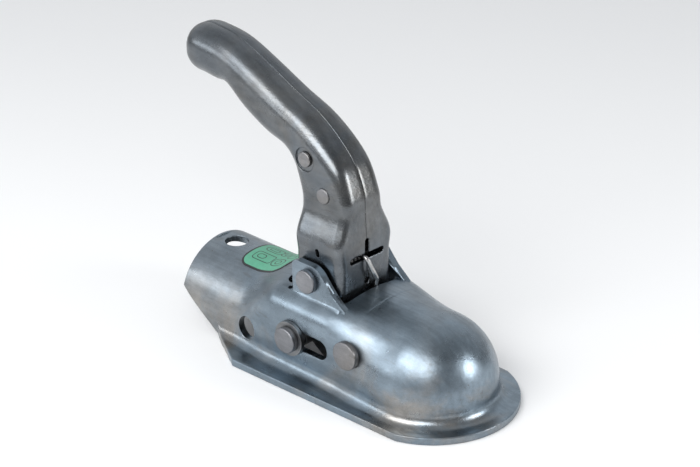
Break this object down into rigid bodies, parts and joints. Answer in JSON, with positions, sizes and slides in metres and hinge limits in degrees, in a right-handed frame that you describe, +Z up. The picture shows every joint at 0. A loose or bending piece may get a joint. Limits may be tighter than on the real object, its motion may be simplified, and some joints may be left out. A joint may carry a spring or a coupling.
{
  "type": "ball coupling head",
  "caption": "Pressed steel ball coupling head for a trailer drawbar: domed socket, clamp collar and a lever handle, raised, that draws a jaw under the ball.",
  "frame": {"origin": "centre of the 50 mm tow ball when seated, 15 mm above the flange underside", "axes": "+X towards the nose, +Z up, Y = 0 the plane of symmetry"},
  "size_m": [0.2428, 0.1068, 0.186],
  "materials": {
    "zinc_plated_steel": "satin zinc plating on pressed sheet, lightly scuffed",
    "cast_seat": "dark cast",
    "label_foil": "printed foil",
    "spring_steel": "oiled wire"
  },
  "bodies": {
    "head": {"housing": "zinc_plated_steel", "ball_seat": "cast_seat", "front_rivet": "zinc_plated_steel", "front_spacer": "zinc_plated_steel", "pivot_pin": "zinc_plated_steel", "label": "label_foil", "closing_spring": "spring_steel"},
    "handle": {"handle_shell_left": "zinc_plated_steel", "handle_shell_right": "zinc_plated_steel", "upper_rivet": "zinc_plated_steel", "upper_rivet_spacer": "zinc_plated_steel", "lower_rivet": "zinc_plated_steel", "lower_rivet_spacer": "zinc_plated_steel", "fork_arm_left": "zinc_plated_steel", "fork_arm_right": "zinc_plated_steel", "pivot_bush": "zinc_plated_steel", "pivot_spacers": "zinc_plated_steel"},
    "carriage": {"slot_pin": "zinc_plated_steel", "slot_washers": "zinc_plated_steel", "pin_roller": "zinc_plated_steel", "pin_spacers": "zinc_plated_steel", "carriage_plate_left": "zinc_plated_steel", "carriage_plate_right": "zinc_plated_steel", "jaw": "cast_seat", "jaw_pin": "zinc_plated_steel"}
  },
  "joints": [
    {"name": "handle_hinge", "type": "hinge", "parent": "head", "child": "handle", "pos_m": [-0.0705, 0, 0.0468], "axis": [0, -1, 0], "range_deg": [0, 32], "deforming": ["closing_spring"]},
    {"name": "jaw_slide", "type": "slide", "parent": "head", "child": "carriage", "axis": [1, 0, 0], "range_m": [0, 0.0206]}
  ],
  "couplings": [
    {"joint": "jaw_slide", "follows": "handle_hinge", "m_per_rad": 0.0368}
  ]
}
